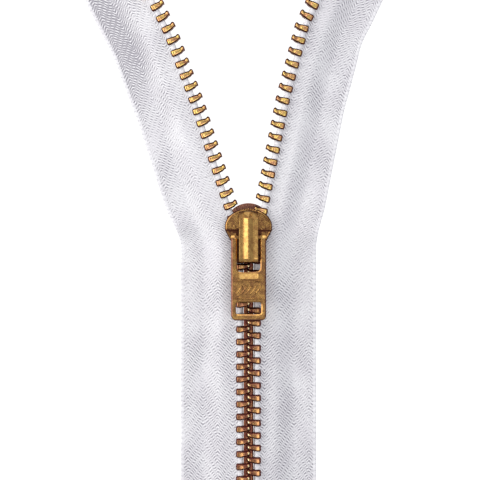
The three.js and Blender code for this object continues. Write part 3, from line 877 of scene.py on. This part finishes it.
def upper_blade():
    """The upper blade: rings from the middle of its top out over the rim and in under it. Behind the
    shoulders it drops by 0.22. Painted shade darkens it along that step, in the gaps beside the crown,
    over its rear round the tab's eyes and on the nose in front of the crown."""
    rings = [(share, 0.62, BLADE_TOP_Z - 0.12, 0.7) for share in np.linspace(0, 1, 24)]
    rim = [(0.56, 0.12, 0.5), (0.52, 0.02, 1.2), (0.48, 0.0, 1.6), (0.24, 0.14, 1.6), (0.2, 0.17, 0.5)]
    rim += [(0.16, 0.2, 0.0), (0, 0.34, 0.0)]
    rings += [(1, inset, BLADE_TOP_Z - drop, shine) for inset, drop, shine in rim]
    rings += [(1, 0, UPPER_BLADE_Z + 0.2, 0.0), (1, 0.08, UPPER_BLADE_Z, 0.0)]
    rings += [(share, 0.1, UPPER_BLADE_Z, 0.0) for share in (0.5, 0)]
    points, faces, polish_and_shade = ring_solid(blade_outline(UPPER_NOSE), BLADE_MIDDLE, rings)
    x, y, z = points.T
    on_top = z > BLADE_TOP_Z - 0.35
    behind = 1 - smooth(y, 3.1, 3.7)
    z = z - 0.22 * behind * on_top
    # Painted shade: along the step, in the gaps beside the crown, over the rear and on the nose.
    step = np.exp(-(((y - 3.4) / 0.42) ** 2))
    gap = smooth(np.abs(x), 2.0, 2.3) * (1 - smooth(np.abs(x), 2.75, 3.0)) * behind
    under = behind * (1 - smooth(y, 2.2, 2.5)) * 0.5
    nose = 0.6 * smooth(y, 7.5, 7.8) * (1 - smooth(np.abs(x), 1.9, 2.2))
    dark = np.clip(0.8 * step + gap + under + nose, 0, 1) * on_top
    return np.column_stack([x, y, z]), faces, polish_and_shade * (1 - dark)


def slider_parts():
    """The lower blade, the upper one, the two pairs of flanges, the divider and the ribs on the nose."""
    lower = pillow(blade_outline(SHOULDER_HALF), BLADE_MIDDLE, 0.0, BLADE, 0.22)
    parts = [lower, upper_blade()]
    for low, high in (LOWER_FLANGE, UPPER_FLANGE):
        parts.append(wall(channel_x, flange_x, TAIL_Y + 0.1, FLANGE_TOP_Y, low, high))
        left = (lambda y: -flange_x(y), lambda y: -channel_x(y))
        parts.append(wall(*left, TAIL_Y + 0.1, FLANGE_TOP_Y, low, high))
    parts.append(wall(lambda y: -divider_x(y), divider_x, *DIVIDER_SPAN, LOWER_FLANGE[0], UPPER_FLANGE[1]))
    for k in range(-NOSE_RIBS_EACH_SIDE, NOSE_RIBS_EACH_SIDE + 1):
        centre = (NOSE_RIB_STEP * k, NOSE_RIB_Y - 0.03 * k**2)
        rib = superellipse(0.15, 0.32, 3, 20, centre)
        parts.append(pillow(rib, centre, BLADE_TOP_Z - 0.3, BLADE_TOP_Z + 0.08, 0.1, 1.3, 0.0, 0.1))
    return parts


casting = joined("slider_casting", slider_parts(), SLIDER_FINISH, "slider", ["slider_body"])
casting.data.materials.append(EDGE_AND_SHADE_FINISH)
# Faces at or below the lower blade's top take the darker copy: painted shade under the upper blade.
for face in casting.data.polygons:
    face.material_index = int(face.center.z < (BLADE + 0.01) * MM)


# ---- Crown -------------------------------------------------------------------------------------
# The cap over the lock is pressed from brass sheet and polished: a ridged roof with a sloping front.
# It is open underneath, and notched on both sides for the tab's bar.

CROWN_HALF = 2.2
CROWN_WALL = 0.25
CROWN_TOP = 7.5
CROWN_BACK = -3.95
CROWN_BROW = 6.27
CROWN_FRONT = 7.9
PIVOT_Y = 1.8
PIVOT_Z = 5.45
NOTCH = 0.65
RIDGE_SOFT = 0.18
RIDGE_FALL = 0.63
EAVES = 0.8


def ramp(value, low, high):
    """0 below low and 1 above high, straight between."""
    return np.clip((value - low) / (high - low), 0, 1)


def crown_surface(x, y, half, top, back, front):
    """Height of the roof: two facets that meet in a ridge rounded as hypot(x, RIDGE_SOFT), a step down
    to flatter flanks, a straight fall in front from CROWN_BROW, and a rear that drops as 1 - sqrt(y)."""
    reach = np.abs(x) * CROWN_HALF / half
    fall = ramp(y, CROWN_BROW, front)
    soft = np.hypot(reach, RIDGE_SOFT) - RIDGE_SOFT
    ridge = RIDGE_FALL * ramp(soft, 0.0, 0.95) * (1 - 0.7 * fall)
    flank = 0.26 * ramp(reach, 1.1, 1.25) + 0.2 * ramp(reach, 1.25, CROWN_HALF)
    fall = (top - BLADE_TOP_Z - EAVES) * fall
    rear = 0.6 * (1 - np.sqrt(np.clip((y - back) / 0.8, 0, 1)))
    return top - ridge - flank - fall - rear


def crown_part():
    """The roof and walls as a grid of rows across, and the same grid set in by the wall's thickness."""
    rows, across, wall_steps = 140, 61, 6
    share = np.linspace(-1, 1, across)
    layers = []
    for inset in (0.0, CROWN_WALL):
        half, back, front = CROWN_HALF - inset, CROWN_BACK + inset, CROWN_FRONT - 2 * inset
        y = np.linspace(back, front, rows)
        yy, xx = np.meshgrid(y, half * share, indexing="ij")
        roof = crown_surface(xx, yy, half, CROWN_TOP - 0.45 * inset, back, front)
        base = BLADE_TOP_Z - 0.05 + (PIVOT_Z + NOTCH - BLADE_TOP_Z) * (np.abs(y - PIVOT_Y) < NOTCH)
        drop = np.linspace(0, 1, wall_steps + 1)[:-1]
        left = base[:, None] + (roof[:, :1] - base[:, None]) * drop
        right = left[:, ::-1]
        z = np.concatenate([left, roof, right], 1)
        x = np.concatenate([0 * left - half, xx, 0 * right + half], 1)
        layers.append(np.stack([x, np.repeat(y[:, None], x.shape[1], 1), z], -1))
    ring, faces = closed_between(*layers)
    points = ring.reshape(-1, 3)
    # The walls are darker towards their foot, and the sloping front is darkened as painted shade.
    shine = smooth(points[:, 2], BLADE_TOP_Z, BLADE_TOP_Z + 1.3)
    front = 1 - 0.4 * smooth(points[:, 1], CROWN_BROW, CROWN_BROW + 0.3)
    return points, faces, shine * front


CROWN_FINISH = brass_finish(
    "polished_crown_brass",
    bare=((0.42, 0.215, 0.072), (0.61, 0.365, 0.115)),
    oxide=(0.09, 0.034, 0.016),
    grain=1500,
    roughness=(0.40, 0.25),
    relief=0.004,
)
joined("crown_shell", [crown_part()], CROWN_FINISH, "slider", ["crown_cap"])


# ---- Lock --------------------------------------------------------------------------------------
# Under the crown a steel strip with a locking pin lies over the tab's bar, below a bowed leaf spring.

LEAF_HALF = 0.75
LEAF_ENDS = (-1.6, 3.2)
LEAF_Z = 6.425
LEAF_BOW = 0.38
LEAF_THICKNESS = 0.12

steel = Finish("lock_spring_steel", Metallic=1.0)
steel_grain = steel.noise(steel.place(), 2500, 3)
steel.set(Base_Color=steel.mix(steel_grain, (0.42, 0.41, 0.40), (0.62, 0.61, 0.58)))
steel.set(Roughness=0.28 + 0.2 * steel_grain)
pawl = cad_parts["lock_pawl"]
pawl.data.materials.clear()
pawl.data.materials.append(steel.material)


def leaf_part():
    """A bowed strip: its underside climbs as LEAF_BOW sin(pi t) along its length."""
    y, x = np.meshgrid(np.linspace(*LEAF_ENDS, 33), np.linspace(-LEAF_HALF, LEAF_HALF, 5), indexing="ij")
    share = (y - LEAF_ENDS[0]) / (LEAF_ENDS[1] - LEAF_ENDS[0])
    under = LEAF_Z + LEAF_BOW * np.sin(np.pi * share)
    ring, faces = closed_between(np.stack([x, y, under + LEAF_THICKNESS], -1), np.stack([x, y, under], -1))
    return ring.reshape(-1, 3), faces


leaf = mesh_object("lock_leaf", *leaf_part(), shade_smooth=False)
welded(leaf)
leaf.data.materials.append(steel.material)
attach(leaf, "slider")
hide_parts("lock_spring")
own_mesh(leaf)


# ---- Pull tab ----------------------------------------------------------------------------------
# The tab is a thick brass stamping: two rails on a round bar, a grip ridge and a thumb window.
# Between two fine lines its face has a stippled panel with plain slanting ribs. Its outer chamfers are
# darker, and the ridge and the rails' eyes are polished.

TAB_HALF = 4.09
WINDOW_HALF = 2.75
TAB_BOTTOM = -17.55
TAB_HALF_THICKNESS = 0.55
CHAMFER = 0.3
CHAMFER_FALL = 0.6
WINDOW_BOTTOM = -6.35
THUMB_WINDOW = (2.95, -16.1, -13.3)
BAR_RADIUS = 0.5
GRIP_Y = -7.25
GRIP_TILT = 0.21
TAB_TOP = PIVOT_Z + TAB_HALF_THICKNESS
EYE_FLAT = 0.8
EYE_FLAT_TURN = np.radians(64)
OUTER_CORNER, INNER_CORNER, THUMB_CORNER = 1.2, 1.2, 0.5
PANEL_LINES = ((-8.45, 2.9), (-12.45, 3.1))
PANEL_RIB_Y = -10.45
PANEL_RIB_STEP = 1.1
PANEL_RIB_TURN = np.radians(52)


def arc_points(centre, radius, start, end, steps=8):
    """Points of a circle's arc, angles in quarter turns."""
    turn = np.linspace(start, end, steps) * np.pi / 2
    return [(centre[0] + radius * np.cos(a), centre[1] + radius * np.sin(a)) for a in turn]


def tab_outline():
    """Round the outside, down one rail's inner side, round the window's bottom and up the other."""
    corner, inner = OUTER_CORNER, INNER_CORNER
    x, w = TAB_HALF - corner, WINDOW_HALF - inner
    points = arc_points((x, TAB_BOTTOM + corner), corner, -1, 0)
    points += [(TAB_HALF, PIVOT_Y), (WINDOW_HALF, PIVOT_Y)]
    points += arc_points((w, WINDOW_BOTTOM + inner), inner, 0, -1)
    points += arc_points((-w, WINDOW_BOTTOM + inner), inner, -1, -2)
    points += [(-WINDOW_HALF, PIVOT_Y), (-TAB_HALF, PIVOT_Y)]
    return points + arc_points((-x, TAB_BOTTOM + corner), corner, -2, -1)


def thumb_outline():
    """Round the thumb window: a rectangle whose corners are quarter circles."""
    half, low, high = THUMB_WINDOW
    x, y0, y1 = half - THUMB_CORNER, low + THUMB_CORNER, high - THUMB_CORNER
    points = []
    for number, centre in enumerate(((x, y0), (x, y1), (-x, y1), (-x, y0))):
        points += arc_points(centre, THUMB_CORNER, number - 1, number)
    return points


def bevelled_plate(outlines, half_thickness, chamfer, height):
    """Points, faces and polish of a plate with holes: a filled curve with chamfers, as a mesh.
    The chamfers are flattened: each falls by its width times CHAMFER_FALL."""
    curve = bpy.data.curves.new("plate", "CURVE")
    curve.dimensions = "2D"
    curve.fill_mode = "BOTH"
    curve.extrude = (half_thickness - chamfer) * MM
    curve.bevel_depth = chamfer * MM
    curve.bevel_resolution = 0
    curve.offset = -chamfer * MM
    for outline in outlines:
        spline = curve.splines.new("POLY")
        spline.points.add(len(outline) - 1)
        spline.use_cyclic_u = True
        for point, (x, y) in zip(spline.points, outline):
            point.co = (x * MM, y * MM, 0, 1)
    thing = link("plate", curve)
    made = bpy.data.meshes.new_from_object(thing.evaluated_get(bpy.context.evaluated_depsgraph_get()))
    bpy.data.objects.remove(thing)
    points = np.array([vertex.co for vertex in made.vertices]) / MM
    faces = [list(face.vertices) for face in made.polygons]
    depth = half_thickness - np.abs(points[:, 2])
    polish_and_shade = 1 - smooth(depth, 0.3 * chamfer, chamfer)
    outside = np.maximum(np.abs(points[:, 0]) - TAB_HALF, TAB_BOTTOM - points[:, 1]) > -0.5 * chamfer
    points[:, 2] = height + np.sign(points[:, 2]) * (half_thickness - CHAMFER_FALL * depth)
    return points, faces, np.where(outside, 0.0, np.maximum(polish_and_shade, 0.85 * (depth < 1.01 * chamfer)))


def rod(radius, x0, x1, y, z, edge, shine, flat=1.0):
    """A round bar across X with bevelled ends. Where flat is below 1, a flat at that share of its radius
    is cut on the side that EYE_FLAT_TURN points to, r = flat / cos(a - EYE_FLAT_TURN)."""
    around = 48
    turn = np.arange(around) * 2 * np.pi / around
    profile = [(x0, 0.0), (x0, radius - edge), (x0 + edge / 3, radius - edge / 3), (x0 + edge, radius)]
    profile += [(x1 - edge, radius), (x1 - edge / 3, radius - edge / 3), (x1, radius - edge), (x1, 0.0)]
    cut = flat / np.clip(np.cos(turn - EYE_FLAT_TURN), 0.1, 1)
    away = [(x, np.minimum(r, radius * cut)) for x, r in profile]
    points = [np.column_stack([0 * turn + x, y + r * np.cos(turn), z + r * np.sin(turn)]) for x, r in away]
    return np.concatenate(points), tube_faces(len(profile), around), np.full(len(profile) * around, shine)


def tab_parts():
    """The plate, the rails' round eyes, the bar, the ridge, the two lines and the panel's ribs."""
    top = TAB_TOP
    parts = [bevelled_plate([tab_outline(), thumb_outline()], TAB_HALF_THICKNESS, CHAMFER, PIVOT_Z)]
    for side in (LEFT, RIGHT):
        x0, x1 = sorted((side * WINDOW_HALF, side * TAB_HALF))
        parts.append(rod(TAB_HALF_THICKNESS, x0, x1, PIVOT_Y, PIVOT_Z, 0.12, 1.0, EYE_FLAT))
    parts.append(rod(BAR_RADIUS, -WINDOW_HALF - 0.5, WINDOW_HALF + 0.5, PIVOT_Y, PIVOT_Z, 0.05, 0.4))
    middle = (0, GRIP_Y)
    outline = superellipse(2.35, 0.78, 6, 64, middle)
    grip, grip_faces, shine = pillow(outline, middle, top - 0.3, top + 0.5, 0.16)
    grip[:, 2] += GRIP_TILT * (grip[:, 1] - GRIP_Y) * (grip[:, 2] > top + 0.2)
    parts.append((grip, grip_faces, shine))
    for y, half in PANEL_LINES:
        line = superellipse(half, 0.2, 6, 48, (0, y))
        parts.append(pillow(line, (0, y), top - 0.12, top + 0.17, 0.18, 1.0, 0.0, 0.16))
    for k in range(5):
        centre = (PANEL_RIB_STEP * (k - 2), PANEL_RIB_Y)
        rib = superellipse(1.25, 0.22, 4, 32, centre, PANEL_RIB_TURN)
        parts.append(pillow(rib, centre, top - 0.1, top + 0.2, 0.19, 1.0, 0.0, 0.19))
    return parts


tab = joined("pull_tab_stamping", tab_parts(), SLIDER_FINISH, "pull_tab", ["pull_tab"])
tab.data.materials.append(EDGE_AND_SHADE_FINISH)
tab.data.materials.append(CROWN_FINISH)
for face in tab.data.polygons:
    x, y, z = face.center / MM
    on_grip = abs(y - GRIP_Y) < 0.8 and z > TAB_TOP + 0.02
    on_eye = y > PIVOT_Y - 0.6
    face.material_index = 2 if on_grip or on_eye else 0
    if z < TAB_TOP + 0.001 and not on_eye and abs(face.normal.z) > 0.8:
        on_rim = max(abs(x) - TAB_HALF, TAB_BOTTOM - y) > -CHAMFER
        face.use_smooth = False
        face.material_index = int(on_rim and abs(face.normal.z) < 0.99)
